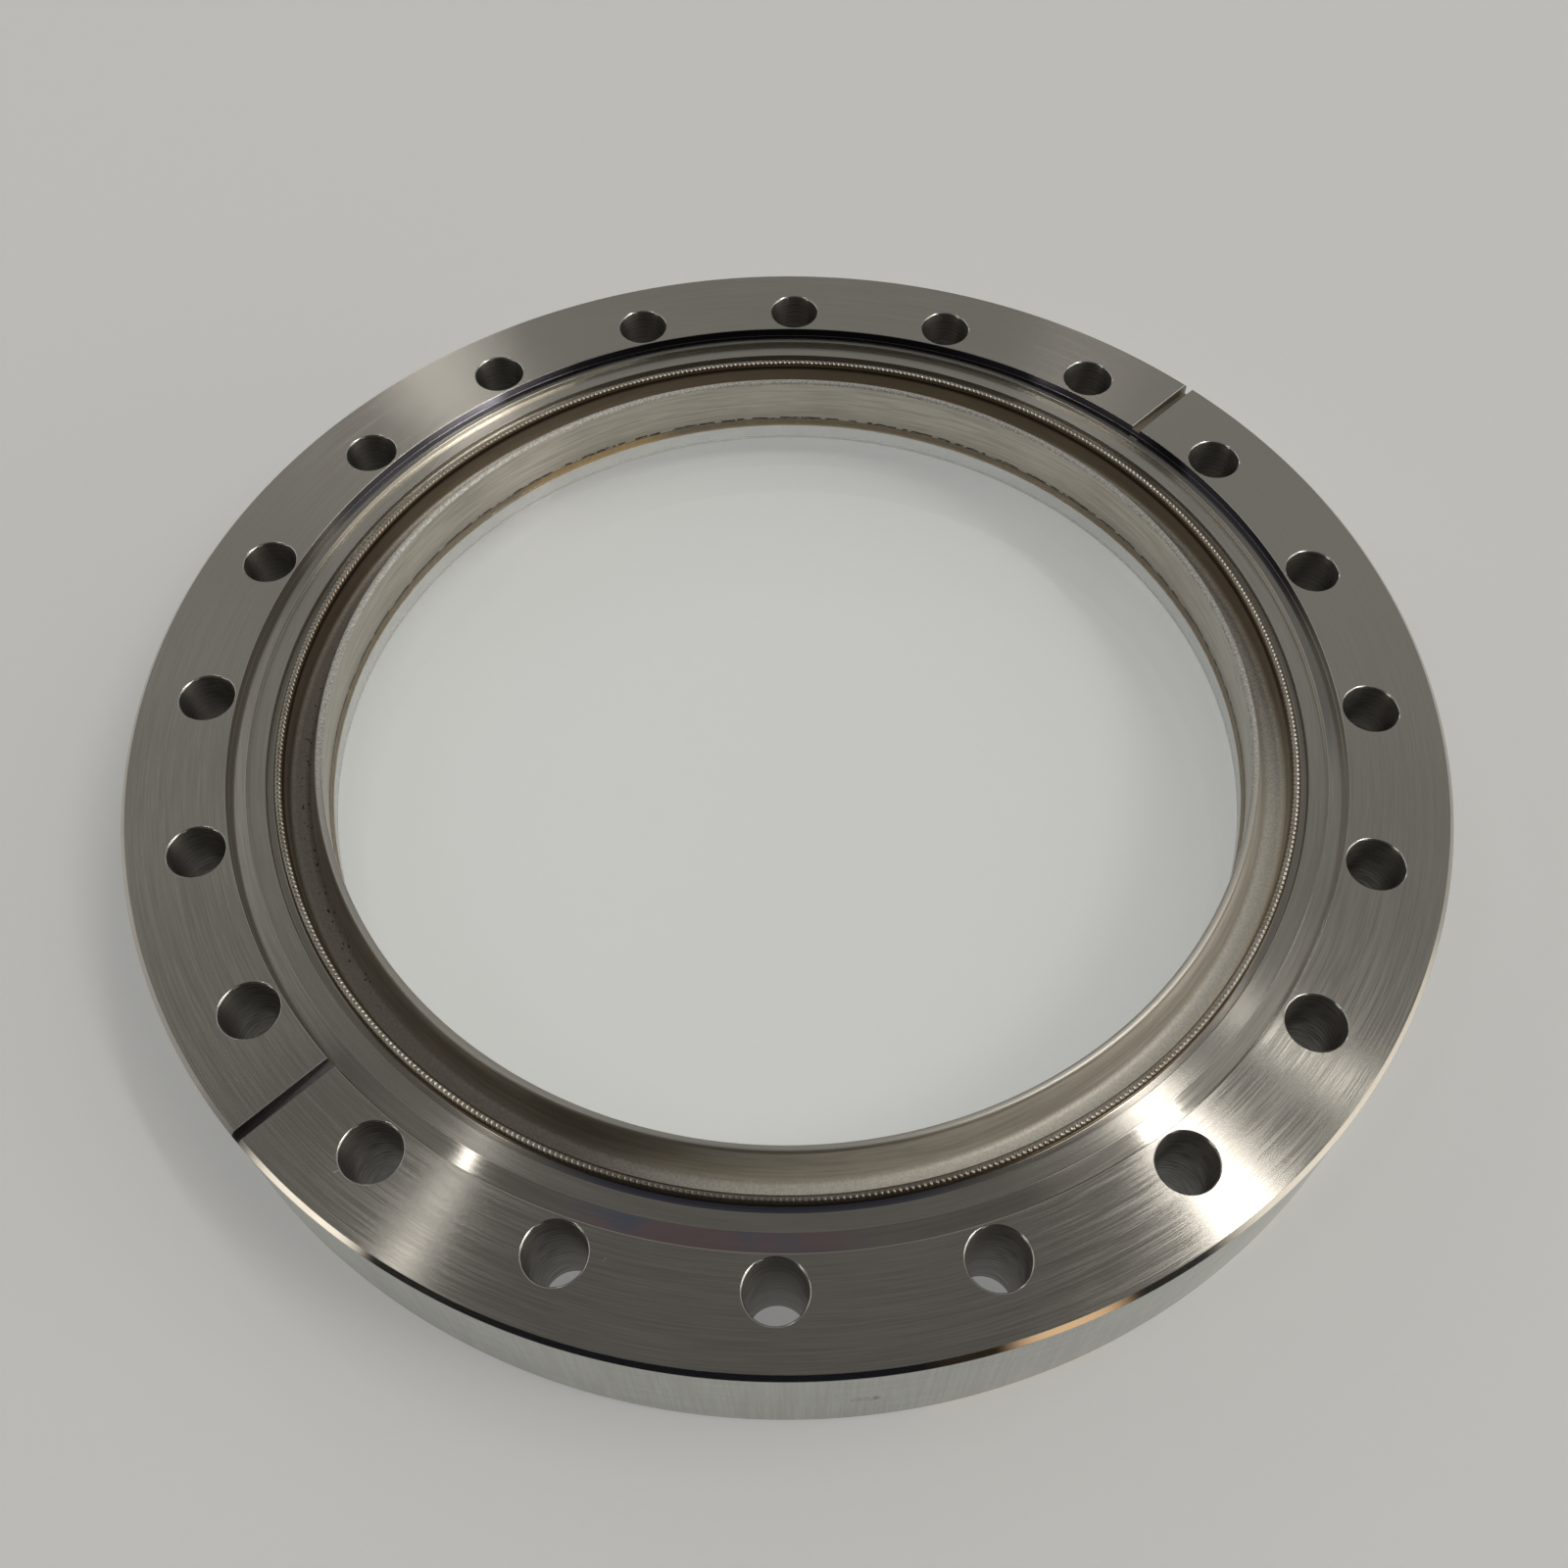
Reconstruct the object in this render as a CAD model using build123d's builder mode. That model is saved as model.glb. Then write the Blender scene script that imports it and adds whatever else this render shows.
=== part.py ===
from build123d import *

import os
from math import radians, tan

# DN160 CF viewport flange, in millimetres. The origin is the centre of the back face, +Z points
# out of the knife-edge face, and one bolt hole lies on +X. Every section is a profile of radius and
# height, turned about Z. Depths are measured down from the knife-edge face.

# Flange blank
flange_diameter = 202.4
flange_thickness = 22.3
rim_chamfer = 0.7

# Bolt holes
bolt_circle_inset = 10.7  # rim to hole centres
bolt_hole_diameter = 8.4
bolt_count = 20

# Gasket recess and knife edge
recess_wall = 0.55  # metal left between the recess and the bolt holes
knife_inset = 2.85  # recess wall to knife tip
knife_depth = 0.5
knife_slope = 20.0  # degrees, falling outwards from the tip
land_width = 2.7
land_depth = 1.4

# Weld preparation at the bore
weld_groove_width = 1.15
weld_groove_depth = 1.0  # below the land
weld_lip_width = 0.75
weld_lip_depth = 1.75
weld_crown_height = 0.66
weld_crown_width = 0.5

# Leak-check slots, deeper towards the rim
leak_slot_count = 2
leak_slot_angle = 45.0
leak_slot_width = 1.6
leak_slot_depth_at_recess = 0.7
leak_slot_depth_at_rim = 2.4
leak_slot_overrun = 1.0  # past the recess edge and the rim

# Formed cuff, one sheet from the weld lip to the glass
cuff_clearance = 0.1  # in the flange bore
cuff_sheet = 0.5
gutter_depth = 5.7
gutter_floor_width = 3.1
gutter_leg_run = 2.15  # how far the inner leg leans out from crest to floor
crest_width = 1.05
sleeve_flare = 1.1  # how far the sleeve widens from the crest to the seal
sleeve_overhang = 0.6  # sleeve below the glass

# Window
glass_depth = 10.5
glass_thickness = 6.35
seal_rise = 1.0  # height that the glass climbs up the sleeve
seal_width = 1.3  # width of that climb
seal_clearance = 0.02

# Radii worked inwards from the rim
rim_radius = flange_diameter / 2
bolt_circle_radius = rim_radius - bolt_circle_inset
bolt_hole_radius = bolt_hole_diameter / 2
recess_radius = bolt_circle_radius - bolt_hole_radius - recess_wall
knife_radius = recess_radius - knife_inset
land_inner_radius = knife_radius - land_width
weld_lip_radius = land_inner_radius - weld_groove_width
bore_radius = weld_lip_radius - weld_lip_width
cuff_radius = bore_radius - cuff_clearance
gutter_outer_radius = cuff_radius - cuff_sheet
gutter_inner_radius = gutter_outer_radius - gutter_floor_width
crest_outer_radius = gutter_inner_radius - gutter_leg_run
crest_inner_radius = crest_outer_radius - crest_width
seal_radius = crest_inner_radius + sleeve_flare
glass_radius = seal_radius - seal_clearance

# Heights worked down from the knife-edge face
knife_height = flange_thickness - knife_depth
recess_height = knife_height - knife_inset * tan(radians(knife_slope))
land_height = flange_thickness - land_depth
weld_groove_height = land_height - weld_groove_depth
weld_lip_height = flange_thickness - weld_lip_depth
gutter_height = flange_thickness - gutter_depth
gutter_underside = gutter_height - cuff_sheet
crest_height = flange_thickness
glass_top = flange_thickness - glass_depth
glass_bottom = glass_top - glass_thickness
seal_height = glass_top + seal_rise
sleeve_bottom = glass_bottom - sleeve_overhang

# Leak-check slot cutter, lying along +X, with a floor that falls towards the rim
slot_floor_fall = leak_slot_depth_at_rim - leak_slot_depth_at_recess
slot_floor_slope = slot_floor_fall / (rim_radius - recess_radius)
slot_start = recess_radius - leak_slot_overrun
slot_end = rim_radius + leak_slot_overrun
slot_start_depth = leak_slot_depth_at_recess - leak_slot_overrun * slot_floor_slope
slot_end_depth = leak_slot_depth_at_rim + leak_slot_overrun * slot_floor_slope

with BuildPart() as leak_slot:
    with BuildSketch(Plane.XZ):
        with BuildLine():
            Polyline(
                (slot_start, flange_thickness - slot_start_depth),
                (slot_end, flange_thickness - slot_end_depth),
                (slot_end, flange_thickness + leak_slot_overrun),
                (slot_start, flange_thickness + leak_slot_overrun),
                close=True,
            )
        make_face()
    extrude(amount=leak_slot_width / 2, both=True)

# Flange body: the turned section first, then the rim's chamfers, the bolt holes and the slots
with BuildPart() as flange_body:
    with BuildSketch(Plane.XZ):
        with BuildLine():
            Polyline(
                (bore_radius, 0),
                (rim_radius, 0),
                (rim_radius, flange_thickness),
                (recess_radius, flange_thickness),
                (recess_radius, recess_height),
                (knife_radius, knife_height),
                (knife_radius, land_height),
                (land_inner_radius, land_height),
                (land_inner_radius, weld_groove_height),
                (weld_lip_radius, weld_groove_height),
                (weld_lip_radius, weld_lip_height),
                (bore_radius, weld_lip_height),
                close=True,
            )
        make_face()
    revolve(axis=Axis.Z)
    rim_edges = flange_body.edges().filter_by(GeomType.CIRCLE).group_by(SortBy.RADIUS)[-1]
    chamfer(rim_edges, rim_chamfer)
    with PolarLocations(bolt_circle_radius, bolt_count):
        Hole(bolt_hole_radius)
    with PolarLocations(0, leak_slot_count, start_angle=leak_slot_angle):
        add(leak_slot.part, mode=Mode.SUBTRACT)
flange_body.part.label = "flange_body"

# Weld cuff: one sheet thickness along the lip, the gutter and the sleeve. The leaning leg and the
# flared sleeve close on each other towards the crest, where they are one solid wall.
with BuildPart() as weld_cuff:
    with BuildSketch(Plane.XZ):
        with BuildLine():
            Polyline(
                (cuff_radius, weld_lip_height),
                (gutter_outer_radius, weld_lip_height),
                (gutter_outer_radius, gutter_height),
                (gutter_inner_radius, gutter_height),
                (crest_outer_radius, crest_height),
                (crest_inner_radius, crest_height),
                (seal_radius, seal_height),
                (seal_radius, sleeve_bottom),
                (seal_radius + cuff_sheet, sleeve_bottom),
                (seal_radius + cuff_sheet, gutter_underside),
                (cuff_radius, gutter_underside),
                close=True,
            )
        make_face()
    revolve(axis=Axis.Z)
weld_cuff.part.label = "weld_cuff"

# Weld bead: a crowned ring that bridges the cuff's lip and the flange's weld lip
crown_middle_radius = (gutter_outer_radius + weld_lip_radius) / 2
crown_top = weld_lip_height + weld_crown_height

with BuildPart() as weld_bead:
    with BuildSketch(Plane.XZ):
        with BuildLine():
            Polyline(
                (gutter_outer_radius, weld_lip_height),
                (weld_lip_radius, weld_lip_height),
                (crown_middle_radius + weld_crown_width / 2, crown_top),
                (crown_middle_radius - weld_crown_width / 2, crown_top),
                close=True,
            )
        make_face()
    revolve(axis=Axis.Z)
weld_bead.part.label = "weld_bead"

# Window: a flat disc whose upper edge climbs the sleeve
with BuildPart() as glass_window:
    with BuildSketch(Plane.XZ):
        with BuildLine():
            Polyline(
                (0, glass_top),
                (0, glass_bottom),
                (glass_radius, glass_bottom),
                (glass_radius, seal_height),
                (glass_radius - seal_width, glass_top),
                close=True,
            )
        make_face()
    revolve(axis=Axis.Z)
glass_window.part.label = "glass_window"

os.makedirs("parts", exist_ok=True)
export_step(flange_body.part, "parts/flange_body.step")
export_step(weld_cuff.part, "parts/weld_cuff.step")
export_step(weld_bead.part, "parts/weld_bead.step")
export_step(glass_window.part, "parts/glass_window.step")
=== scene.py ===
import random
from math import atan2, cos, pi, radians, sin, tan, tau

import bmesh
import bpy
from mathutils import Matrix, Vector


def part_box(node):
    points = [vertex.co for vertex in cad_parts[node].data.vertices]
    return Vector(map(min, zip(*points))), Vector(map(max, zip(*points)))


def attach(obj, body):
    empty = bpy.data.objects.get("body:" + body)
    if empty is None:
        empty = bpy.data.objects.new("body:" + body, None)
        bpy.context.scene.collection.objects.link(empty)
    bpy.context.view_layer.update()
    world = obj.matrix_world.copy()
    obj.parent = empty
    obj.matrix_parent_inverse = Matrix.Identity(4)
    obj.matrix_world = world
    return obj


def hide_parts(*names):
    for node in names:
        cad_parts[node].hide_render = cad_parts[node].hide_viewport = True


# A CF viewport flange: the turned flange, the formed cuff, the edge weld between them and the glass
# window. The origin is the centre of the back face, and +Z points out of the knife-edge face. A
# direction round the ring is an angle from +X, towards +Y.

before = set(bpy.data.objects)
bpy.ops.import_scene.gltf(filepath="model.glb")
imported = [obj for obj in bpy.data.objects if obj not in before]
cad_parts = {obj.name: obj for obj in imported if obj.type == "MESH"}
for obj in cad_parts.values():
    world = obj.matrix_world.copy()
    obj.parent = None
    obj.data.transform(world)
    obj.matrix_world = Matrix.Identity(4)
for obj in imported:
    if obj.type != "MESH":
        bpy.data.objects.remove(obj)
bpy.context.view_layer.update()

# ---------------------------------------------------------------- sizes, in metres

MM = 0.001
TO_MM = 1000
flange_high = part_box("flange_body")[1]
cuff_low, cuff_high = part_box("weld_cuff")
bead_low, bead_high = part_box("weld_bead")
glass_low, glass_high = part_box("glass_window")

# Read from the CAD: the height of the knife-edge face, and the outer radius of each piece
FACE = flange_high.z
RIM_R = flange_high.x
CUFF_R = cuff_high.x
BEAD_R = bead_high.x
GLASS_R = glass_high.x

# Flange; each depth is below the face
HOLE_COUNT = 20
HOLE_CIRCLE_R = 90.5 * MM
HOLE_R = 4.2 * MM
HOLE_BREAK = 0.3 * MM
RIM_CHAMFER = 0.7 * MM
RECESS_R = 85.75 * MM
RECESS_DEPTH = 1.54 * MM
KNIFE_R = 82.9 * MM
KNIFE_DEPTH = 0.5 * MM
LAND_R = 80.2 * MM
LAND_DEPTH = 1.4 * MM
GROOVE_DEPTH = 2.4 * MM
LIP_DEPTH = 1.75 * MM
BORE_R = 78.3 * MM

# Leak-check slots; the two floor depths are at the ends of the cutter
SLOT_ANGLES = (radians(45), radians(225))
SLOT_WIDTH = 1.6 * MM
SLOT_BREAK = 0.1 * MM
SLOT_INNER_DEPTH = 0.58 * MM
SLOT_OUTER_DEPTH = 2.51 * MM

# Cuff
GUTTER_OUTER_R = 77.7 * MM
GUTTER_INNER_R = 74.6 * MM
GUTTER_DEPTH = 5.7 * MM
GUTTER_BEND = 1.0 * MM
UNDERSIDE_DEPTH = 6.2 * MM
UNDERSIDE_BEND = 1.4 * MM
CREST_OUTER_R = 72.45 * MM
CREST_INNER_R = 71.4 * MM
CREST_BEND = 0.45 * MM
SEAL_DEPTH = 9.5 * MM
SEAL_BEND = 0.6 * MM
SLEEVE_INNER_R = 72.5 * MM
SLEEVE_OUTER_R = 73.0 * MM
SHEET_BREAK = 0.1 * MM

# Weld bead
BEAD_INNER_R = 77.72 * MM
RIPPLES = 600
RIPPLE_DEPTH = 0.38
RIPPLE_LEAN = 0.35

# Window
GLASS_DEPTH = 10.5 * MM
CLIMB_HEIGHT = 0.85 * MM
CLIMB_WIDTH = 0.45 * MM
FUSED_DEPTH = 1.5 * MM

# How far a cutter reaches past the metal, and how finely round shapes are divided
SPARE = 1 * MM
RING_STEPS = 720
WINDOW_STEPS = 360
HOLE_STEPS = 64
STEPS_A_RIPPLE = 8
CROWN_STEPS = 10
CLIMB_STEPS = 8


# ---------------------------------------------------------------- mesh helpers

def add_mesh(name, verts, faces):
    mesh = bpy.data.meshes.new(name)
    mesh.from_pydata(verts, [], faces)
    mesh.validate()
    mesh.update()
    obj = bpy.data.objects.new(name, mesh)
    bpy.context.scene.collection.objects.link(obj)
    return obj


def around(steps, count, last):
    """The faces between neighbouring sections of a ring, where each section has count points."""
    faces = []
    for step in range(steps):
        here = step * count
        there = (step + 1) % steps * count
        for i in range(last):
            j = (i + 1) % count
            faces.append((here + i, there + i, there + j, here + j))
    return faces


def turn(name, section, steps=RING_STEPS, closed=True):
    """A ring turned about Z from a list of (radius, height) points."""
    count = len(section)
    verts = []
    for step in range(steps):
        angle = tau * step / steps
        for radius, height in section:
            verts.append((radius * cos(angle), radius * sin(angle), height))
    last = count if closed else count - 1
    return add_mesh(name, verts, around(steps, count, last))


def rounded(corners, arc_steps=5):
    """A closed outline of (radius, height, fillet) corners, with each fillet as an arc."""
    outline = []
    count = len(corners)
    for i, (r, h, fillet) in enumerate(corners):
        here = Vector((r, h))
        if not fillet:
            outline.append(tuple(here))
            continue
        before = Vector(corners[i - 1][:2]) - here
        after = Vector(corners[(i + 1) % count][:2]) - here
        before.normalize()
        after.normalize()
        half = before.angle(after) / 2
        start = here + before * fillet / tan(half)
        end = here + after * fillet / tan(half)
        middle = here + (before + after).normalized() * fillet / sin(half)
        first = atan2(*(start - middle).yx)
        last = atan2(*(end - middle).yx)
        sweep = (last - first + pi) % tau - pi
        for k in range(arc_steps + 1):
            a = first + sweep * k / arc_steps
            outline.append((middle.x + fillet * cos(a), middle.y + fillet * sin(a)))
    return outline


def smooth(obj, angle=25):
    """Smooth shading that stays sharp at edges steeper than the angle; level faces stay flat."""
    mesh = obj.data
    work = bmesh.new()
    work.from_mesh(mesh)
    bmesh.ops.recalc_face_normals(work, faces=work.faces)
    for edge in work.edges:
        sharp = len(edge.link_faces) != 2 or edge.calc_face_angle(0) > radians(angle)
        edge.smooth = not sharp
    for face in work.faces:
        face.smooth = abs(face.normal.z) < 0.9999
    work.to_mesh(mesh)
    work.free()


def cut(obj, cutters):
    """Subtracts every cutter from the piece; the cut faces keep the cutter's material."""
    for cutter in cutters:
        modifier = obj.modifiers.new("cut", "BOOLEAN")
        modifier.operation = "DIFFERENCE"
        modifier.solver = "EXACT"
        modifier.material_mode = "TRANSFER"
        modifier.object = cutter
    shape = bpy.data.meshes.new_from_object(obj.evaluated_get(bpy.context.evaluated_depsgraph_get()))
    obj.modifiers.clear()
    obj.data = shape
    for cutter in cutters:
        bpy.data.objects.remove(cutter)


# ---------------------------------------------------------------- shader helpers

class Nodes:
    """A short way to write node trees: each call adds a node and returns its output."""

    def __init__(self, owner, output):
        owner.use_nodes = True
        self.owner = owner
        self.tree = owner.node_tree
        self.tree.nodes.clear()
        self.output = self.tree.nodes.new(output)

    def add(self, kind, out=0, settings=None, **inputs):
        """A node of one kind. An input goes by its name, or by i and its number."""
        node = self.tree.nodes.new(kind)
        for key, value in (settings or {}).items():
            setattr(node, key, value)
        for key, value in inputs.items():
            numbered = key[0] == "i" and key[1:].isdigit()
            socket = node.inputs[int(key[1:])] if numbered else node.inputs[key]
            self.set(socket, value)
        return node.outputs[out]

    def set(self, socket, value):
        if isinstance(value, bpy.types.NodeSocket):
            self.tree.links.new(value, socket)
        else:
            socket.default_value = value

    def math(self, operation, a, b=0.0):
        return self.add("ShaderNodeMath", settings={"operation": operation}, i0=a, i1=b)

    def times(self, a, b):
        return self.math("MULTIPLY", a, b)

    def plus(self, a, b):
        return self.math("ADD", a, b)

    def minus(self, a, b):
        return self.math("SUBTRACT", a, b)

    def larger(self, a, b):
        return self.math("MAXIMUM", a, b)

    def vector(self, operation, a, b=(0, 0, 0), out=0):
        return self.add("ShaderNodeVectorMath", out, {"operation": operation}, i0=a, i1=b)

    def combine(self, x, y, z):
        return self.add("ShaderNodeCombineXYZ", X=x, Y=y, Z=z)

    def mix(self, factor, a, b):
        """A colour that goes from a to b."""
        node = self.tree.nodes.new("ShaderNodeMix")
        node.data_type = "RGBA"
        self.set(node.inputs["Factor"], factor)
        self.set(node.inputs[6], a)
        self.set(node.inputs[7], b)
        return node.outputs[2]

    def blend(self, factor, a, b):
        """A number that goes from a to b."""
        node = self.tree.nodes.new("ShaderNodeMix")
        node.data_type = "FLOAT"
        self.set(node.inputs["Factor"], factor)
        self.set(node.inputs[2], a)
        self.set(node.inputs[3], b)
        return node.outputs[0]

    def ramp(self, value, start, end, first=0.0, last=1.0):
        """A number that is first up to start and last beyond end, smooth between."""
        node = self.tree.nodes.new("ShaderNodeMapRange")
        node.interpolation_type = "SMOOTHSTEP"
        self.set(node.inputs["Value"], value)
        self.set(node.inputs["From Min"], start)
        self.set(node.inputs["From Max"], end)
        self.set(node.inputs["To Min"], first)
        self.set(node.inputs["To Max"], last)
        return node.outputs[0]

    def contrast(self, pattern, half):
        """A noise pattern, which lies about 0.5, stretched from 0 to 1 over so much on each side."""
        return self.ramp(pattern, 0.5 - half, 0.5 + half)

    def noise(self, vector, scale=1.0, detail=2.0, rough=0.5):
        return self.add("ShaderNodeTexNoise", Vector=vector, Scale=scale, Detail=detail, Roughness=rough)

    def bump(self, strength, distance, height):
        return self.add("ShaderNodeBump", Strength=strength, Distance=distance, Height=height)

    def ray(self, kind):
        """1 on rays of one kind, such as Is Camera Ray."""
        return self.add("ShaderNodeLightPath", kind)

    def principled(self, **inputs):
        node = self.tree.nodes.new("ShaderNodeBsdfPrincipled")
        for key, value in inputs.items():
            self.set(node.inputs[key.replace("_", " ")], value)
        return node.outputs[0]

    def polar(self):
        """Where the point is: x and y in metres, r and z in millimetres, and turns round the ring."""
        self.place = self.add("ShaderNodeTexCoord", "Object")
        self.x, self.y, height = self.add("ShaderNodeSeparateXYZ", i0=self.place).node.outputs
        square = self.plus(self.times(self.x, self.x), self.times(self.y, self.y))
        self.r = self.times(self.math("SQRT", square), TO_MM)
        self.z = self.times(height, TO_MM)
        self.turns = self.times(self.math("ARCTAN2", self.y, self.x), 1 / tau)
        # the place in millimetres, for patterns that have no seam round the ring
        self.mm = self.vector("SCALE", self.place)
        self.mm.node.inputs["Scale"].default_value = TO_MM
        return self

    def across(self):
        """The direction in the surface that crosses the turning marks, along which glare spreads."""
        along = self.vector("CROSS_PRODUCT", (0, 0, 1), self.place)
        normal = self.add("ShaderNodeNewGeometry", "Normal")
        return self.vector("NORMALIZE", self.vector("CROSS_PRODUCT", normal, along))

    def finish(self, shader):
        self.tree.links.new(shader, self.output.inputs["Surface"])
        return self.owner


def new_material(name):
    return Nodes(bpy.data.materials.new(name), "ShaderNodeOutputMaterial").polar()


def band(nodes, value, low, high, soft):
    """1 between low and high and 0 outside, over a soft edge."""
    rise = nodes.ramp(value, low - soft, low + soft)
    fall = nodes.ramp(value, high + soft, high - soft)
    return nodes.times(rise, fall)


def sector(nodes, middle, half, soft):
    """1 within so many degrees of a direction round the ring, and 0 further off."""
    a = radians(middle)
    along_x = nodes.times(nodes.x, cos(a) * TO_MM)
    along_y = nodes.times(nodes.y, sin(a) * TO_MM)
    toward = nodes.math("DIVIDE", nodes.plus(along_x, along_y), nodes.r)
    return nodes.ramp(toward, cos(radians(half + soft)), cos(radians(half)))


def nick(nodes, azimuth, radius, lean, length, width):
    """1 on one short scratch in the face, at a direction and radius, leaning so far from +X."""
    a = radians(azimuth)
    lean = radians(lean)
    dx = nodes.minus(nodes.times(nodes.x, TO_MM), radius * cos(a))
    dy = nodes.minus(nodes.times(nodes.y, TO_MM), radius * sin(a))
    along = nodes.plus(nodes.times(dx, cos(lean)), nodes.times(dy, sin(lean)))
    off = nodes.minus(nodes.times(dy, cos(lean)), nodes.times(dx, sin(lean)))
    near = nodes.ramp(nodes.math("ABSOLUTE", off), width, width * 0.3)
    inside = nodes.ramp(nodes.math("ABSOLUTE", along), length / 2, length * 0.3)
    return nodes.times(near, inside)


def turned_rings(nodes, pitch, reach):
    """Rings round the axis, about a pitch of millimetres apart; a larger reach makes each shorter."""
    angle = nodes.times(nodes.turns, tau)
    where = nodes.combine(
        nodes.times(nodes.math("COSINE", angle), reach),
        nodes.times(nodes.math("SINE", angle), reach),
        nodes.math("DIVIDE", nodes.plus(nodes.r, nodes.z), pitch),
    )
    return nodes.noise(where, scale=1.0, detail=3.0, rough=0.6)


# ---------------------------------------------------------------- materials

def flange_steel():
    """Turned steel: a satin face and rim, and a finer, glossier cut inside the gasket recess."""
    nodes = new_material("turned_steel")
    fine = turned_rings(nodes, pitch=0.16, reach=9.0)
    broad = turned_rings(nodes, pitch=0.42, reach=4.0)
    short = turned_rings(nodes, pitch=0.16, reach=55.0)
    cloud = nodes.noise(nodes.mm, scale=0.04, detail=3.0)
    tone = nodes.blend(0.4, fine, broad)
    tone = nodes.blend(0.2, tone, cloud)

    # masks, each 1 on one surface, by radius and height in millimetres
    recess_r = RECESS_R / MM
    knife_r = KNIFE_R / MM
    land_r = LAND_R / MM
    rim_r = RIM_R / MM
    face_z = FACE / MM
    recess = nodes.ramp(nodes.r, recess_r + 0.05, recess_r - 0.02)
    slope = band(nodes, nodes.r, knife_r + 0.1, recess_r - 0.1, soft=0.04)
    groove = nodes.ramp(nodes.r, land_r, land_r - 0.1)
    wall = band(nodes, nodes.r, recess_r - 0.04, recess_r + 0.04, soft=0.02)
    wall = nodes.times(wall, nodes.ramp(nodes.z, face_z - 0.04, face_z - 0.12))
    rim = nodes.ramp(nodes.r, rim_r - 0.06, rim_r - 0.01)
    chamfer = band(nodes, nodes.r, rim_r - 0.66, rim_r - 0.04, soft=0.03)
    recess_edge = band(nodes, nodes.r, recess_r, recess_r + 0.1, soft=0.03)
    knife_edge = band(nodes, nodes.r, knife_r - 0.05, knife_r + 0.07, soft=0.03)
    edges = nodes.larger(recess_edge, knife_edge)

    steel = nodes.contrast(tone, half=0.14)
    colour = nodes.mix(steel, (0.53, 0.50, 0.448, 1), (0.63, 0.60, 0.542, 1))
    # painted reflection: the near part of the knife slope shows colours that play from purple to blue
    play = nodes.noise(nodes.vector("MULTIPLY", nodes.mm, (0.09, 0.09, 0.4)), scale=1.0, detail=1.0)
    front_reflection_colour = nodes.mix(nodes.contrast(play, half=0.10), (0.62, 0.40, 0.46, 1), (0.36, 0.42, 0.62, 1))
    front_reflection_share = nodes.times(slope, sector(nodes, middle=265, half=7, soft=8))
    colour = nodes.mix(nodes.times(front_reflection_share, 0.6), colour, front_reflection_colour)
    # painted shade darkens the weld groove, and a painted dark reflection turns it blue at the front
    # together with the rim's chamfer
    colour = nodes.mix(nodes.times(groove, 0.5), colour, (0.30, 0.27, 0.235, 1))
    blue = nodes.larger(groove, chamfer)
    blue = nodes.times(blue, sector(nodes, middle=268, half=10, soft=14))
    colour = nodes.mix(nodes.times(blue, 0.65), colour, (0.09, 0.12, 0.24, 1))
    # painted highlights on the recess edge and the knife edge
    colour = nodes.mix(edges, colour, (0.80, 0.77, 0.70, 1))
    # painted dark reflection: the recess wall is navy at the back and brown on the left
    far_wall = sector(nodes, middle=85, half=65, soft=15)
    left_wall = nodes.times(sector(nodes, middle=190, half=35, soft=15), 0.75)
    wall_reflection_colour = nodes.mix(far_wall, (0.22, 0.195, 0.165, 1), (0.11, 0.11, 0.145, 1))
    wall = nodes.times(wall, nodes.larger(far_wall, left_wall))
    colour = nodes.mix(wall, colour, wall_reflection_colour)
    # painted highlight: the chamfer is pale at the near right; painted reflection: it is golden at the
    # front
    pale = nodes.times(chamfer, sector(nodes, middle=321, half=12, soft=6))
    colour = nodes.mix(pale, colour, (0.88, 0.83, 0.74, 1))
    golden = nodes.times(chamfer, sector(nodes, middle=289, half=6, soft=3))
    colour = nodes.mix(golden, colour, (0.72, 0.52, 0.32, 1))
    # painted shade: the knife slope is darker at the far right
    shaded = nodes.times(slope, sector(nodes, middle=28, half=26, soft=12))
    colour = nodes.mix(nodes.times(shaded, 0.55), colour, (0.17, 0.16, 0.15, 1))
    # upright streaks on the rim, painted reflections smeared along its height, and one small brown stain
    # on the rim
    upright = nodes.vector("MULTIPLY", nodes.mm, (2.2, 2.2, 0.05))
    upright = nodes.contrast(nodes.noise(upright, scale=1.0, detail=3.0, rough=0.6), half=0.15)
    streaked = nodes.mix(upright, (0.50, 0.505, 0.48, 1), (0.58, 0.59, 0.56, 1))
    colour = nodes.mix(rim, colour, streaked)
    stain = nodes.times(rim, sector(nodes, middle=276.5, half=0.7, soft=0.6))
    stain = nodes.times(stain, band(nodes, nodes.z, 9.5, 11.5, soft=0.8))
    stain = nodes.times(stain, nodes.ramp(nodes.noise(nodes.mm, scale=1.6, detail=3.0), 0.45, 0.56))
    colour = nodes.mix(nodes.times(stain, 0.75), colour, (0.12, 0.095, 0.07, 1))
    # small scratches in the face: direction, radius, lean, length and width
    nicks = nick(nodes, 233, 95.0, 20, 1.2, 0.09)
    for azimuth, radius, lean, length, width in (
        (236, 90.5, 75, 0.7, 0.08),
        (221, 96.5, 130, 0.9, 0.07),
        (9.5, 93.5, 15, 2.2, 0.09),
        (9.0, 94.6, 155, 1.0, 0.07),
        (256, 89.5, 40, 0.8, 0.10),
        (70, 97.0, 80, 0.9, 0.06),
    ):
        nicks = nodes.larger(nicks, nick(nodes, azimuth, radius, lean, length, width))
    colour = nodes.mix(nodes.times(nicks, 0.8), colour, (0.80, 0.79, 0.76, 1))

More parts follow.
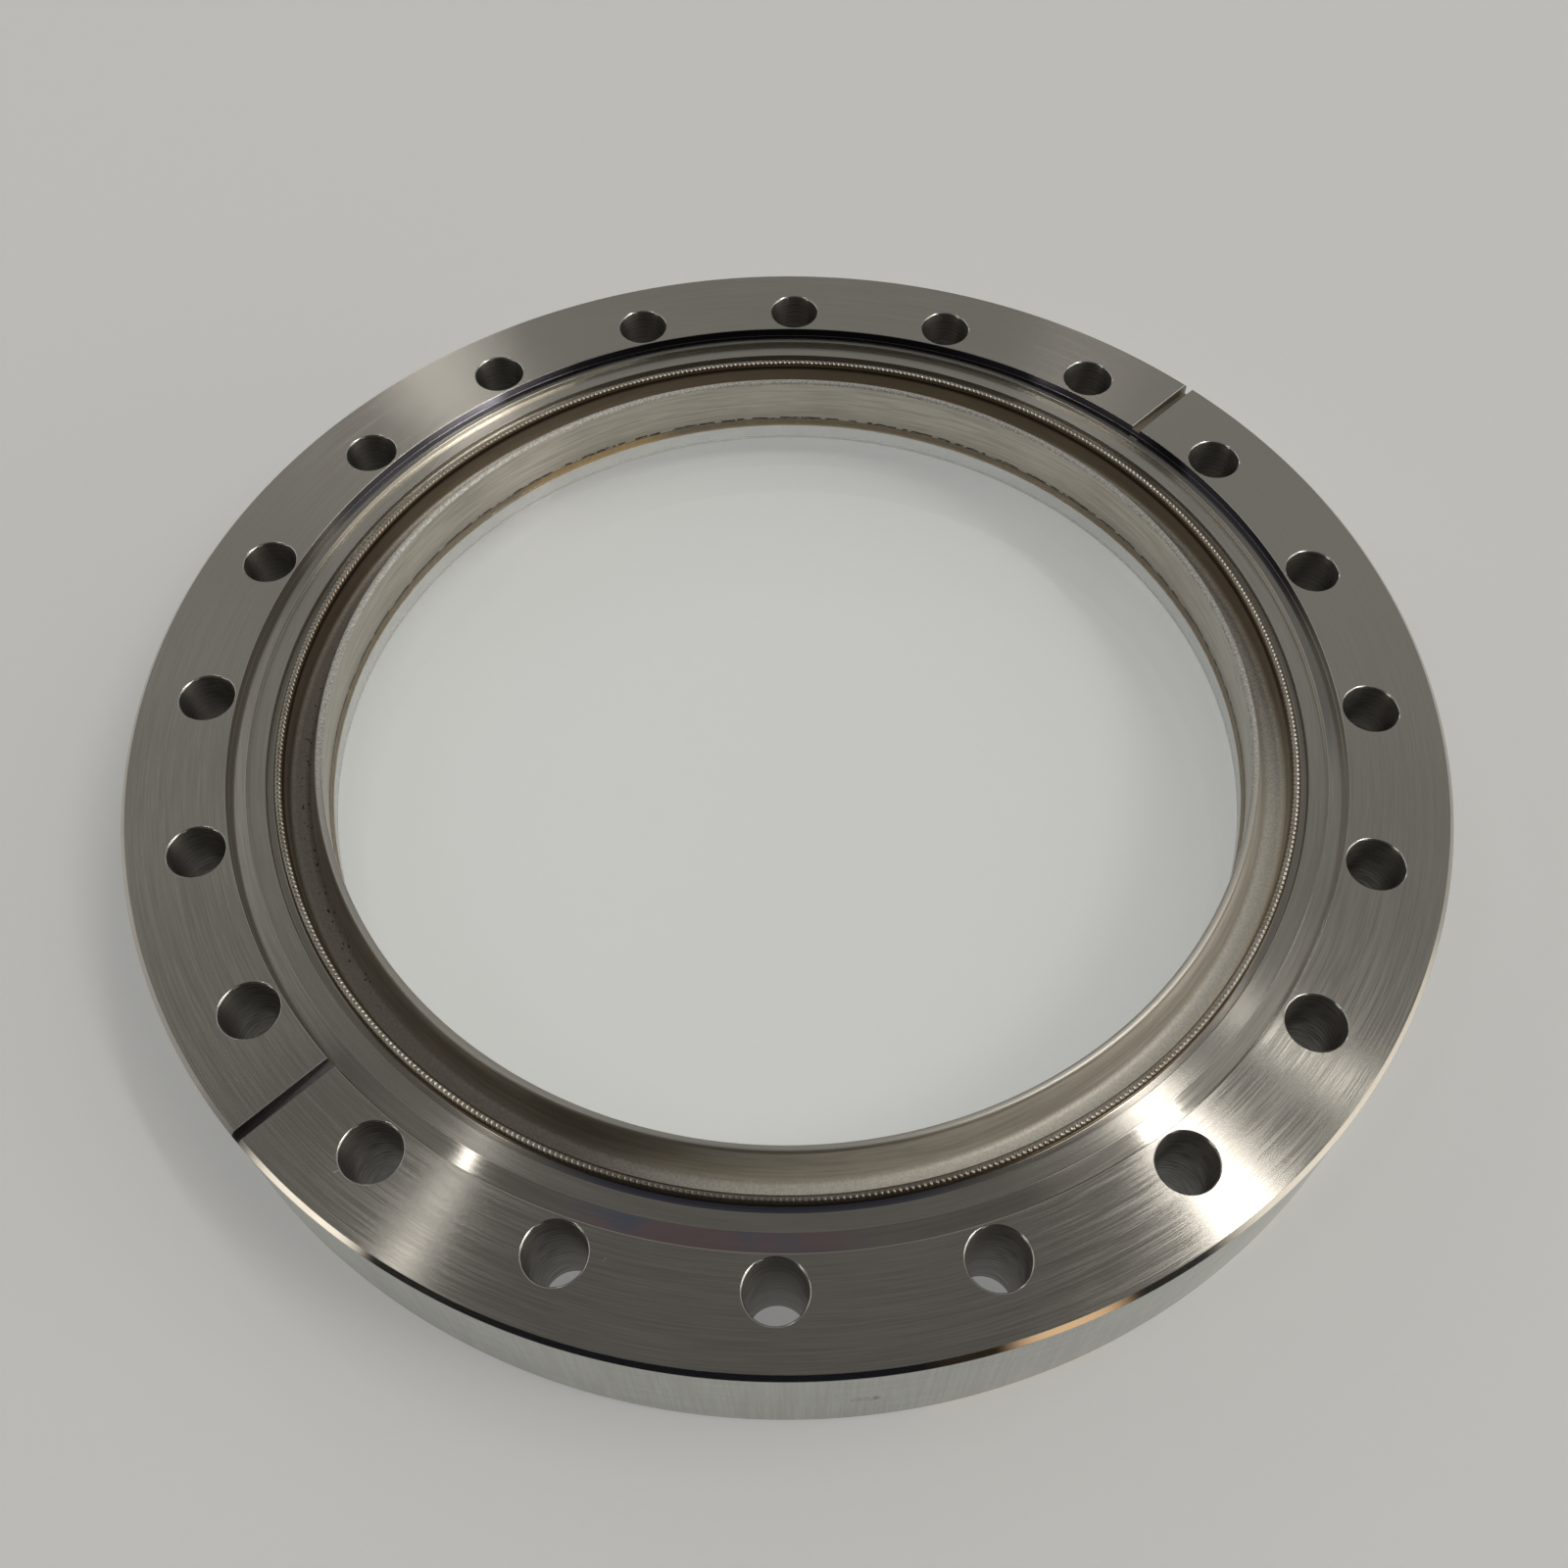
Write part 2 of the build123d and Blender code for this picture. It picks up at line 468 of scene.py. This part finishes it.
    rough = nodes.blend(nodes.contrast(tone, half=0.10), 0.16, 0.245)
    rough = nodes.blend(recess, rough, nodes.blend(broad, 0.17, 0.24))
    rough = nodes.blend(slope, rough, nodes.blend(broad, 0.09, 0.15))
    rough = nodes.blend(wall, rough, 0.12)
    rough = nodes.blend(chamfer, rough, 0.11)
    rough = nodes.blend(pale, rough, 0.30)
    rough = nodes.blend(nicks, rough, 0.45)
    height = nodes.blend(0.15, fine, short)
    height = nodes.minus(height, nodes.times(nicks, 2.0))
    shader = nodes.principled(
        Base_Color=colour, Metallic=1.0, Roughness=rough, Anisotropic=1.0,
        Tangent=nodes.across(), Normal=nodes.bump(0.12, 0.00002, height),
    )
    return nodes.finish(shader)


def drilled_steel():
    """Bolt hole walls: the drill's rings on a dark tone that is partly painted shade, and a polished
    broken edge at the face painted bright as a highlight.
    """
    nodes = new_material("drilled_steel")
    wander = nodes.noise(nodes.mm, scale=0.5, detail=2.0)
    along = nodes.plus(nodes.z, nodes.times(wander, 0.8))
    where = nodes.combine(nodes.times(nodes.r, 0.08), 0.0, along)
    rings = nodes.noise(where, scale=3.2, detail=4.0, rough=0.65)
    tone = nodes.contrast(rings, half=0.12)
    edge_z = (FACE - HOLE_BREAK) / MM
    edge = nodes.ramp(nodes.z, edge_z - 0.02, edge_z + 0.02)
    # the walls' dark tone is partly painted shade; the broken edge is painted bright as a highlight
    colour = nodes.mix(tone, (0.30, 0.285, 0.26, 1), (0.50, 0.48, 0.445, 1))
    colour = nodes.mix(edge, colour, (0.80, 0.78, 0.74, 1))
    rough = nodes.blend(edge, nodes.blend(tone, 0.46, 0.34), 0.22)
    shader = nodes.principled(
        Base_Color=colour, Metallic=1.0, Roughness=rough, Anisotropic=0.8,
        Tangent=nodes.combine(0.0, 0.0, 1.0), Normal=nodes.bump(0.35, 0.00006, rings),
    )
    return nodes.finish(shader)


def milled_steel():
    """Leak-check slots: painted shade in the cut near the viewer, painted light in the one at the back,
    and edges painted bright as highlights.
    """
    nodes = new_material("milled_steel")
    grain = nodes.noise(nodes.mm, scale=2.5, detail=3.0, rough=0.6)
    edge = nodes.ramp(nodes.z, FACE / MM - 0.14, FACE / MM - 0.10)
    far_slot = sector(nodes, middle=45, half=10, soft=5)
    # painted shade darkens the near slot, and painted light makes the far one pale
    colour = nodes.mix(grain, (0.16, 0.155, 0.15, 1), (0.32, 0.31, 0.30, 1))
    pale = nodes.mix(grain, (0.30, 0.27, 0.225, 1), (0.46, 0.42, 0.35, 1))
    colour = nodes.mix(far_slot, colour, pale)
    # painted highlights on the upper edges
    colour = nodes.mix(edge, colour, (0.74, 0.73, 0.70, 1))
    rough = nodes.blend(far_slot, 0.34, 0.6)
    bump = nodes.bump(0.4, 0.00005, grain)
    return nodes.finish(nodes.principled(Base_Color=colour, Metallic=1.0, Roughness=rough, Normal=bump))


def cuff_steel():
    """Formed sheet: satin sleeve and leg, a stippled gutter and crest, heat tint and the seal line."""
    nodes = new_material("cuff_steel")
    fine = turned_rings(nodes, pitch=0.12, reach=8.0)
    cloud = nodes.noise(nodes.mm, scale=0.05, detail=3.0, rough=0.5)
    grain = nodes.noise(nodes.mm, scale=2.6, detail=3.0, rough=0.65)
    brushed = nodes.blend(0.3, turned_rings(nodes, pitch=0.4, reach=7.0), cloud)
    near_right = sector(nodes, middle=308, half=35, soft=25)
    near_side = sector(nodes, middle=270, half=65, soft=25)

    # masks, each 1 on one surface, by radius and height in millimetres
    face_z = FACE / MM
    crest = nodes.ramp(nodes.z, face_z - 0.6, face_z - 0.35)
    near_crest = nodes.times(crest, near_side)
    deep = nodes.ramp(nodes.z, face_z - 4.4, face_z - 5.2)
    gutter = nodes.times(deep, nodes.ramp(nodes.r, 73.6, 74.2))
    wall = nodes.ramp(nodes.r, 77.0, 77.6)
    inside = nodes.ramp(nodes.r, 73.4, 73.1)
    leg = band(nodes, nodes.r, 72.6, 74.5, soft=0.1)
    leg = nodes.times(leg, nodes.minus(1.0, crest))
    # the seal line is ragged and broken, and the sleeve is glazed with heat tint below it
    ragged = nodes.minus(nodes.noise(nodes.mm, scale=0.8, detail=3.0, rough=0.7), 0.5)
    level = nodes.plus(nodes.z, nodes.times(ragged, 0.7))
    dashes = nodes.ramp(nodes.noise(nodes.mm, scale=0.55, detail=2.0, rough=0.5), 0.42, 0.47)
    seal = nodes.times(band(nodes, level, 12.75, 13.1, soft=0.07), inside)
    seal = nodes.times(seal, dashes)
    glazed = nodes.times(nodes.ramp(level, 12.8, 12.6), inside)

    # satin sleeve, darker towards the seal
    satin = nodes.mix(nodes.contrast(brushed, half=0.12), (0.41, 0.375, 0.32, 1), (0.56, 0.52, 0.455, 1))
    low = nodes.times(nodes.ramp(nodes.z, 16.5, 13.5), inside)
    satin = nodes.mix(nodes.times(low, 0.45), satin, (0.33, 0.30, 0.25, 1))
    # the gutter is stippled; painted shade makes it brown on the left, and painted light makes it cream
    # at the near right
    speckled = nodes.contrast(grain, half=0.12)
    stipple = nodes.mix(speckled, (0.50, 0.465, 0.41, 1), (0.66, 0.63, 0.57, 1))
    painted_dark_side = nodes.times(sector(nodes, middle=205, half=40, soft=25), 0.6)
    stipple = nodes.mix(painted_dark_side, stipple, (0.22, 0.19, 0.155, 1))
    cream = nodes.mix(speckled, (0.82, 0.785, 0.71, 1), (0.93, 0.90, 0.83, 1))
    stipple = nodes.mix(near_right, stipple, cream)
    colour = nodes.mix(gutter, satin, stipple)
    # painted light: the leg is pale towards the near right
    lit_leg = nodes.times(leg, nodes.blend(near_right, 0.25, 1.0))
    cream = nodes.mix(nodes.contrast(brushed, half=0.14), (0.74, 0.71, 0.63, 1), (0.90, 0.87, 0.80, 1))
    colour = nodes.mix(lit_leg, colour, cream)
    # the crest is stippled on the far side and smooth on the near side; painted light makes it bright on
    # the far side and creamy on the near side
    bright = nodes.mix(nodes.contrast(grain, half=0.1), (0.68, 0.66, 0.61, 1), (0.95, 0.935, 0.89, 1))
    bright = nodes.mix(near_side, bright, (0.72, 0.69, 0.625, 1))
    colour = nodes.mix(crest, colour, bright)
    # the wall up to the weld is brown, most of all at the back, and painted shade makes it nearly black
    # under the bead
    brown = nodes.blend(sector(nodes, middle=90, half=75, soft=25), 0.2, 0.65)
    colour = nodes.mix(nodes.times(wall, brown), colour, (0.36, 0.29, 0.215, 1))
    shade_under_bead = nodes.times(wall, nodes.ramp(nodes.z, 19.5, 20.2))
    shade_under_bead = nodes.times(shade_under_bead, nodes.blend(near_right, 1.0, 0.2))
    colour = nodes.mix(shade_under_bead, colour, (0.07, 0.06, 0.05, 1))
    # a few black pits in the gutter on the left
    pits = nodes.ramp(nodes.noise(nodes.mm, scale=1.7, detail=2.0, rough=0.5), 0.64, 0.68)
    pits = nodes.times(pits, nodes.times(gutter, sector(nodes, middle=195, half=18, soft=14)))
    pits = nodes.times(pits, nodes.ramp(nodes.r, 76.3, 75.6))
    colour = nodes.mix(pits, colour, (0.04, 0.035, 0.03, 1))
    # tan below the seal line, with a painted golden glint at the far left, and pale below the pane
    golden = sector(nodes, middle=120, half=6, soft=8)
    tint = nodes.mix(golden, (0.34, 0.285, 0.20, 1), (0.62, 0.44, 0.22, 1))
    colour = nodes.mix(nodes.times(glazed, 0.95), colour, tint)
    colour = nodes.mix(seal, colour, (0.03, 0.028, 0.026, 1))
    below = nodes.times(nodes.ramp(nodes.z, 5.7, 5.4), inside)
    colour = nodes.mix(below, colour, (0.84, 0.83, 0.80, 1))

    rough = nodes.blend(cloud, 0.30, 0.38)
    rough = nodes.blend(gutter, rough, 0.58)
    rough = nodes.blend(lit_leg, rough, 0.62)
    rough = nodes.blend(crest, rough, 0.65)
    rough = nodes.blend(near_crest, rough, 0.42)
    rough = nodes.blend(wall, rough, 0.40)
    stippled = nodes.larger(gutter, nodes.minus(crest, near_crest))
    speckle = nodes.times(grain, nodes.blend(stippled, 0.12, 1.0))
    height = nodes.plus(nodes.times(fine, 0.25), speckle)
    shader = nodes.principled(
        Base_Color=colour, Metallic=1.0, Roughness=rough, Anisotropic=0.5,
        Tangent=nodes.across(), Normal=nodes.bump(0.4, 0.00004, height),
    )
    return nodes.finish(shader)


def bead_steel():
    """Fused metal: pale on the crown, with painted shade at the front, and brown heat tint down both
    flanks.
    """
    nodes = new_material("bead_steel")
    cloud = nodes.noise(nodes.mm, scale=0.12, detail=3.0, rough=0.6)
    crown = band(nodes, nodes.r, 77.98, 78.78, soft=0.12)
    pale = nodes.mix(nodes.contrast(cloud, half=0.15), (0.50, 0.46, 0.385, 1), (0.62, 0.59, 0.525, 1))
    # painted shade: the crown is darker at the front
    painted_dark_side = nodes.times(sector(nodes, middle=268, half=14, soft=16), 0.75)
    pale = nodes.mix(painted_dark_side, pale, (0.17, 0.155, 0.13, 1))
    colour = nodes.mix(crown, (0.26, 0.19, 0.125, 1), pale)
    rough = nodes.blend(cloud, 0.28, 0.38)
    return nodes.finish(nodes.principled(Base_Color=colour, Metallic=1.0, Roughness=rough))


def window_glass():
    """Clear glass with a ground edge; light passes straight through it to what lies below."""
    nodes = new_material("window_glass")
    glass = nodes.principled(
        Base_Color=(0.98, 0.985, 0.98, 1), Roughness=0.0, IOR=1.47, Transmission_Weight=1.0,
    )
    grain = nodes.noise(nodes.mm, scale=1.4, detail=3.0, rough=0.6)
    grey = nodes.mix(grain, (0.40, 0.39, 0.36, 1), (0.52, 0.51, 0.48, 1))
    ground = nodes.principled(Base_Color=grey, Roughness=0.6)
    edge = nodes.ramp(nodes.r, GLASS_R / MM - 0.02, GLASS_R / MM - 0.005)
    glass = nodes.add("ShaderNodeMixShader", i0=nodes.times(edge, 0.42), i1=glass, i2=ground)
    clear = nodes.add("ShaderNodeBsdfTransparent", Color=(0.93, 0.95, 0.94, 1))
    straight = nodes.larger(nodes.ray("Is Shadow Ray"), nodes.ray("Is Diffuse Ray"))
    return nodes.finish(nodes.add("ShaderNodeMixShader", i0=straight, i1=glass, i2=clear))


def joint_finish():
    """The fused joint between glass and sleeve, seen through the glass: tan, with a painted golden glint
    at the far left.
    """
    nodes = new_material("fused_joint")
    speckle = nodes.noise(nodes.mm, scale=1.4, detail=3.0, rough=0.6)
    colour = nodes.mix(speckle, (0.30, 0.235, 0.15, 1), (0.50, 0.41, 0.29, 1))
    golden = nodes.mix(speckle, (0.55, 0.36, 0.14, 1), (0.85, 0.66, 0.38, 1))
    # painted glint: golden at the far left
    colour = nodes.mix(sector(nodes, middle=120, half=6, soft=8), colour, golden)
    bump = nodes.bump(0.4, 0.00004, speckle)
    return nodes.finish(nodes.principled(Base_Color=colour, Metallic=0.8, Roughness=0.45, Normal=bump))


# ---------------------------------------------------------------- pieces

def hole_cutter(angle):
    """A drill of the hole's size, with a rounded flare that breaks the edge at each face."""
    flare = []
    for degrees in (0, 24, 48, 70):
        t = radians(degrees)
        flare.append((HOLE_R + HOLE_BREAK * (1 - cos(t)), HOLE_BREAK * (1 - sin(t))))
    # beyond its last point the flare runs on straight, clear of the face
    radius, height = flare[-1]
    flare.append((radius + (height + SPARE) * tan(t), -SPARE))
    rings = [(radius, height) for radius, height in reversed(flare)]
    rings += [(radius, FACE - height) for radius, height in flare]
    verts = [(0, 0, -SPARE), (0, 0, FACE + SPARE)]
    for radius, height in rings:
        for step in range(HOLE_STEPS):
            a = tau * step / HOLE_STEPS
            verts.append((radius * cos(a), radius * sin(a), height))
    faces = []
    top = 2 + (len(rings) - 1) * HOLE_STEPS
    for step in range(HOLE_STEPS):
        there = (step + 1) % HOLE_STEPS
        faces.append((0, 2 + there, 2 + step))
        faces.append((1, top + step, top + there))
        for k in range(len(rings) - 1):
            low = 2 + k * HOLE_STEPS
            high = low + HOLE_STEPS
            faces.append((low + step, low + there, high + there, high + step))
    cutter = add_mesh("hole_cutter", verts, faces)
    cutter.location = (HOLE_CIRCLE_R * cos(angle), HOLE_CIRCLE_R * sin(angle), 0)
    return cutter


def slot_cutter(angle):
    """A long wedge whose floor falls towards the rim, with a flare that breaks its upper edges."""
    half = SLOT_WIDTH / 2
    wide = half + SLOT_BREAK + SPARE
    verts = []
    for radius, depth in ((RECESS_R - SPARE, SLOT_INNER_DEPTH), (RIM_R + SPARE, SLOT_OUTER_DEPTH)):
        verts.append((radius, -half, FACE - depth))
        verts.append((radius, -half, FACE - SLOT_BREAK))
        verts.append((radius, -wide, FACE + SPARE))
        verts.append((radius, wide, FACE + SPARE))
        verts.append((radius, half, FACE - SLOT_BREAK))
        verts.append((radius, half, FACE - depth))
    faces = [(0, 1, 2, 3, 4, 5), (11, 10, 9, 8, 7, 6)]
    for k in range(6):
        j = (k + 1) % 6
        faces.append((k, k + 6, j + 6, j))
    cutter = add_mesh("slot_cutter", verts, faces)
    cutter.rotation_euler.z = angle
    return cutter


def make_flange(turned, drilled, milled):
    """The turned section, then the bolt holes and the leak-check slots cut from it."""
    section = rounded([
        (BORE_R, 0, 0.2 * MM),
        (RIM_R - RIM_CHAMFER, 0, 0),
        (RIM_R, RIM_CHAMFER, 0),
        (RIM_R, FACE - RIM_CHAMFER, 0),
        (RIM_R - RIM_CHAMFER, FACE, 0),
        (RECESS_R, FACE, 0.1 * MM),
        (RECESS_R, FACE - RECESS_DEPTH, 0.08 * MM),
        (KNIFE_R, FACE - KNIFE_DEPTH, 0.06 * MM),
        (KNIFE_R, FACE - LAND_DEPTH, 0.05 * MM),
        (LAND_R, FACE - LAND_DEPTH, 0.05 * MM),
        (LAND_R, FACE - GROOVE_DEPTH, 0.2 * MM),
        (BEAD_R, FACE - GROOVE_DEPTH, 0.2 * MM),
        (BEAD_R, FACE - LIP_DEPTH, 0.05 * MM),
        (BORE_R, FACE - LIP_DEPTH, 0),
    ], arc_steps=3)
    flange = turn("flange_turned", section)
    flange.data.materials.append(turned)
    smooth(flange)
    drills = [hole_cutter(tau * i / HOLE_COUNT) for i in range(HOLE_COUNT)]
    mills = [slot_cutter(angle) for angle in SLOT_ANGLES]
    for drill in drills:
        drill.data.materials.append(drilled)
    for mill in mills:
        mill.data.materials.append(milled)
    cut(flange, drills + mills)
    smooth(flange)
    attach(flange, "root")
    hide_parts("flange_body")


def make_cuff(material):
    """One sheet: from the weld down into the gutter, up to the crest and down the sleeve."""
    section = rounded([
        (CUFF_R, FACE - LIP_DEPTH, 0),
        (GUTTER_OUTER_R, FACE - LIP_DEPTH, 0),
        (GUTTER_OUTER_R, FACE - GUTTER_DEPTH, GUTTER_BEND),
        (GUTTER_INNER_R, FACE - GUTTER_DEPTH, GUTTER_BEND),
        (CREST_OUTER_R, FACE, CREST_BEND),
        (CREST_INNER_R, FACE, CREST_BEND),
        (SLEEVE_INNER_R, FACE - SEAL_DEPTH, SEAL_BEND),
        (SLEEVE_INNER_R, cuff_low.z, SHEET_BREAK),
        (SLEEVE_OUTER_R, cuff_low.z, SHEET_BREAK),
        (SLEEVE_OUTER_R, FACE - UNDERSIDE_DEPTH, SHEET_BREAK),
        (CUFF_R, FACE - UNDERSIDE_DEPTH, UNDERSIDE_BEND),
    ])
    cuff = turn("cuff_formed", section)
    smooth(cuff)
    cuff.data.materials.append(material)
    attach(cuff, "root")
    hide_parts("weld_cuff")


def make_bead(material):
    """The edge weld: a half-round crown whose height ripples along the ring."""
    height = bead_high.z - bead_low.z
    middle = (BEAD_INNER_R + BEAD_R) / 2
    half = (BEAD_R - BEAD_INNER_R) / 2
    steps = RIPPLES * STEPS_A_RIPPLE
    chance = random.Random(7)
    sizes = [chance.uniform(0.7, 1.0) for _ in range(RIPPLES)]
    verts = []
    for step in range(steps):
        angle = tau * step / steps
        # each ripple's depth is a share of the crown's height, and shallower at the front
        depth = RIPPLE_DEPTH * (1 - 0.75 * max(0.0, -sin(angle)) ** 24)
        ripple, phase = divmod(step, STEPS_A_RIPPLE)
        for k in range(CROWN_STEPS + 1):
            t = pi * k / CROWN_STEPS
            # each ripple is a crescent that leans back over the middle of the crown
            place = (phase / STEPS_A_RIPPLE + RIPPLE_LEAN * sin(t) ** 2) % 1
            crest = 1 - depth * sizes[ripple] * abs(2 * place - 1) ** 3 * sin(t)
            verts.append((
                (middle + half * cos(t)) * cos(angle),
                (middle + half * cos(t)) * sin(angle),
                bead_low.z + height * sin(t) * crest,
            ))
    count = CROWN_STEPS + 1
    bead = add_mesh("bead_rippled", verts, around(steps, count, count))
    smooth(bead, 50)
    bead.data.materials.append(material)
    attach(bead, "root")
    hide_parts("weld_bead")


def make_window(material, joint):
    """The glass disc, whose edge climbs the sleeve in a concave curve and is fused to it at the top."""
    top = FACE - GLASS_DEPTH
    fused = top - FUSED_DEPTH
    section = [(0, top)]
    for k in range(CLIMB_STEPS + 1):
        t = pi / 2 * k / CLIMB_STEPS
        radius = GLASS_R - CLIMB_WIDTH + CLIMB_WIDTH * sin(t)
        section.append((radius, top + CLIMB_HEIGHT - CLIMB_HEIGHT * cos(t)))
    section += [(GLASS_R, fused), (GLASS_R, glass_low.z), (0, glass_low.z)]
    window = turn("window_disc", section, WINDOW_STEPS, closed=False)
    work = bmesh.new()
    work.from_mesh(window.data)
    bmesh.ops.remove_doubles(work, verts=work.verts, dist=1e-6)
    work.to_mesh(window.data)
    work.free()
    smooth(window)
    window.data.materials.append(material)
    window.data.materials.append(joint)
    for face in window.data.polygons:
        upright = abs(face.normal.z) < 0.01
        face.material_index = 1 if upright and face.center.z > fused else 0
    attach(window, "root")
    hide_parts("glass_window")


# ---------------------------------------------------------------- stage, light and camera

def make_floor():
    """A plain pale floor, lifted a little where it is seen directly, in metal or through glass."""
    nodes = new_material("floor")
    grain = nodes.noise(nodes.mm, scale=0.6, detail=4.0, rough=0.6)
    colour = nodes.mix(grain, (0.78, 0.78, 0.765, 1), (0.84, 0.84, 0.825, 1))
    shader = nodes.principled(Base_Color=colour, Roughness=0.9)
    seen = nodes.times(nodes.larger(nodes.ray("Is Camera Ray"), nodes.ray("Is Glossy Ray")), 0.20)
    seen = nodes.larger(seen, nodes.times(nodes.ray("Is Transmission Ray"), 0.33))
    lift = nodes.add("ShaderNodeEmission", Color=(1.0, 1.0, 0.98, 1), Strength=seen)
    material = nodes.finish(nodes.add("ShaderNodeAddShader", i0=shader, i1=lift))
    size = 3.0
    corners = [(-size, -size, 0), (size, -size, 0), (size, size, 0), (-size, size, 0)]
    floor = add_mesh("floor", corners, [(0, 1, 2, 3)])
    floor.data.materials.append(material)


def make_world():
    """A pale room with a dimmer ceiling, a dark side in front, and a few soft glows in it."""
    world = bpy.data.worlds.new("room")
    bpy.context.scene.world = world
    nodes = Nodes(world, "ShaderNodeOutputWorld")
    direction = nodes.add("ShaderNodeTexCoord", "Generated")
    x, y, z = nodes.add("ShaderNodeSeparateXYZ", i0=direction).node.outputs

    # the room's colour, from the horizon up
    height = nodes.add("ShaderNodeValToRGB", i0=z)
    steps = height.node.color_ramp
    steps.interpolation = "EASE"
    steps.elements[0].position = 0.0
    steps.elements[0].color = (0.30, 0.297, 0.29, 1)
    steps.elements[1].position = 1.0
    steps.elements[1].color = (0.11, 0.108, 0.105, 1)
    steps.elements.new(0.3).color = (0.30, 0.297, 0.29, 1)
    steps.elements.new(0.62).color = (0.33, 0.326, 0.316, 1)

    # its strength falls to the front, to both sides, and low down at the back
    front = nodes.ramp(y, -0.30, -0.60, first=1.0, last=0.06)
    left = nodes.ramp(x, -0.38, -0.68, first=1.0, last=0.25)
    right = nodes.ramp(x, 0.45, 0.75, first=1.0, last=0.5)
    forward = nodes.ramp(y, 0.15, 0.45, first=1.0, last=0.35)
    high = nodes.ramp(z, 0.50, 0.40, first=1.0, last=0.35)
    sides = nodes.times(nodes.times(left, right), nodes.larger(forward, high))
    light = nodes.add("ShaderNodeBackground", Color=height, Strength=nodes.times(front, sides))

    # each glow: where it is, its colour and strength, and the cosines where it starts and ends
    for toward, colour, strength, start, end in (
        ((0.565, -0.80, 0.195), (1.0, 0.93, 0.83, 1), 1.0, 0.997, 0.985),
        ((-0.878, -0.471, 0.088), (1.0, 0.95, 0.86, 1), 1.8, 0.996, 0.982),
        ((0.98, -0.20, 0.05), (1.0, 0.93, 0.82, 1), 1.2, 0.96, 0.90),
        ((0.70, -0.02, 0.71), (1.0, 0.95, 0.87, 1), 0.5, 0.975, 0.94),
        ((0.53, -0.19, 0.825), (1.0, 0.95, 0.87, 1), 2.6, 0.991, 0.98),
        ((-0.55, -0.17, 0.82), (1.0, 0.95, 0.87, 1), 0.7, 0.9976, 0.988),
    ):
        facing = nodes.vector("DOT_PRODUCT", direction, toward, "Value")
        share = nodes.ramp(facing, start, end, first=1.0, last=0.0)
        glow = nodes.add("ShaderNodeBackground", Color=colour, Strength=nodes.times(share, strength))
        light = nodes.add("ShaderNodeAddShader", i0=light, i1=glow)

    # seen directly or through the glass, the room is only a plain pale backdrop
    backdrop = nodes.add("ShaderNodeBackground", Color=(0.50, 0.50, 0.485, 1))
    direct = nodes.larger(nodes.ray("Is Camera Ray"), nodes.ray("Is Transmission Ray"))
    nodes.finish(nodes.add("ShaderNodeMixShader", i0=direct, i1=light, i2=backdrop))


def make_lamps():
    """Long strips and small lamps, each lying along the fan that it draws on the turned face."""
    # each lamp: its name and place, the direction of its length, its width, length and power
    for name, place, azimuth, width, length, power in (
        ("left", (-0.845, -0.095, 1.92), 240.5, 0.035, 1.6, 0.58),
        ("right", (1.01, 0.026, 1.954), 306.7, 0.095, 1.7, 4.2),
        ("left_low", (-1.16, -0.68, 1.74), 241, 0.14, 0.30, 0.10),
        ("right_low", (1.45, -0.52, 1.57), 306, 0.36, 0.30, 0.3),
        ("back", (0.70, 0.80, 1.93), 320, 0.045, 0.20, 0.15),
        ("far_left", (-0.66, 1.74, 1.17), 132, 0.18, 0.35, 0.42),
        ("far_right", (0.34, 1.55, 1.52), 57, 0.12, 0.14, 0.035),
        ("side_left", (-1.9, 0.8, 1.3), 180, 2.0, 1.0, 3.0),
        ("side_right", (1.9, 0.5, 1.0), 0, 2.0, 1.0, 1.0),
    ):
        light = bpy.data.lights.new("lamp_" + name, "AREA")
        light.shape = "RECTANGLE"
        light.size = width
        light.size_y = length
        light.energy = power
        light.color = (1.0, 0.985, 0.95)
        lamp = bpy.data.objects.new("lamp_" + name, light)
        # it faces the origin, and its length lies along the azimuth
        back = Vector(place).normalized()
        outward = Vector((cos(radians(azimuth)), sin(radians(azimuth)), 0))
        along = (outward - back * outward.dot(back)).normalized()
        turn_to = Matrix((along.cross(back), along, back)).transposed()
        lamp.matrix_world = Matrix.Translation(place) @ turn_to.to_4x4()
        bpy.context.scene.collection.objects.link(lamp)


def make_camera():
    """A camera where the photograph's was: its place is in millimetres from the face's centre."""
    camera = bpy.data.cameras.new("camera")
    camera.lens = 36.55
    camera.sensor_width = 36.0
    camera.shift_x = -0.0037
    camera.clip_start = 0.005
    centre = Matrix.Translation((0, 0, FACE))
    spin = Matrix.Rotation(radians(0.813), 4, "Z")
    place = Matrix.Translation(Vector((1.076, -146.535, 199.823)) * MM)
    aim = Matrix.Rotation(radians(0.173), 4, "Y") @ Matrix.Rotation(radians(33.343), 4, "X")
    eye = bpy.data.objects.new("camera", camera)
    eye.matrix_world = centre @ spin @ place @ aim
    bpy.context.scene.collection.objects.link(eye)
    bpy.context.scene.camera = eye


bpy.context.scene.view_settings.view_transform = "Standard"
make_flange(flange_steel(), drilled_steel(), milled_steel())
make_cuff(cuff_steel())
make_bead(bead_steel())
make_window(window_glass(), joint_finish())
make_floor()
make_world()
make_lamps()
make_camera()
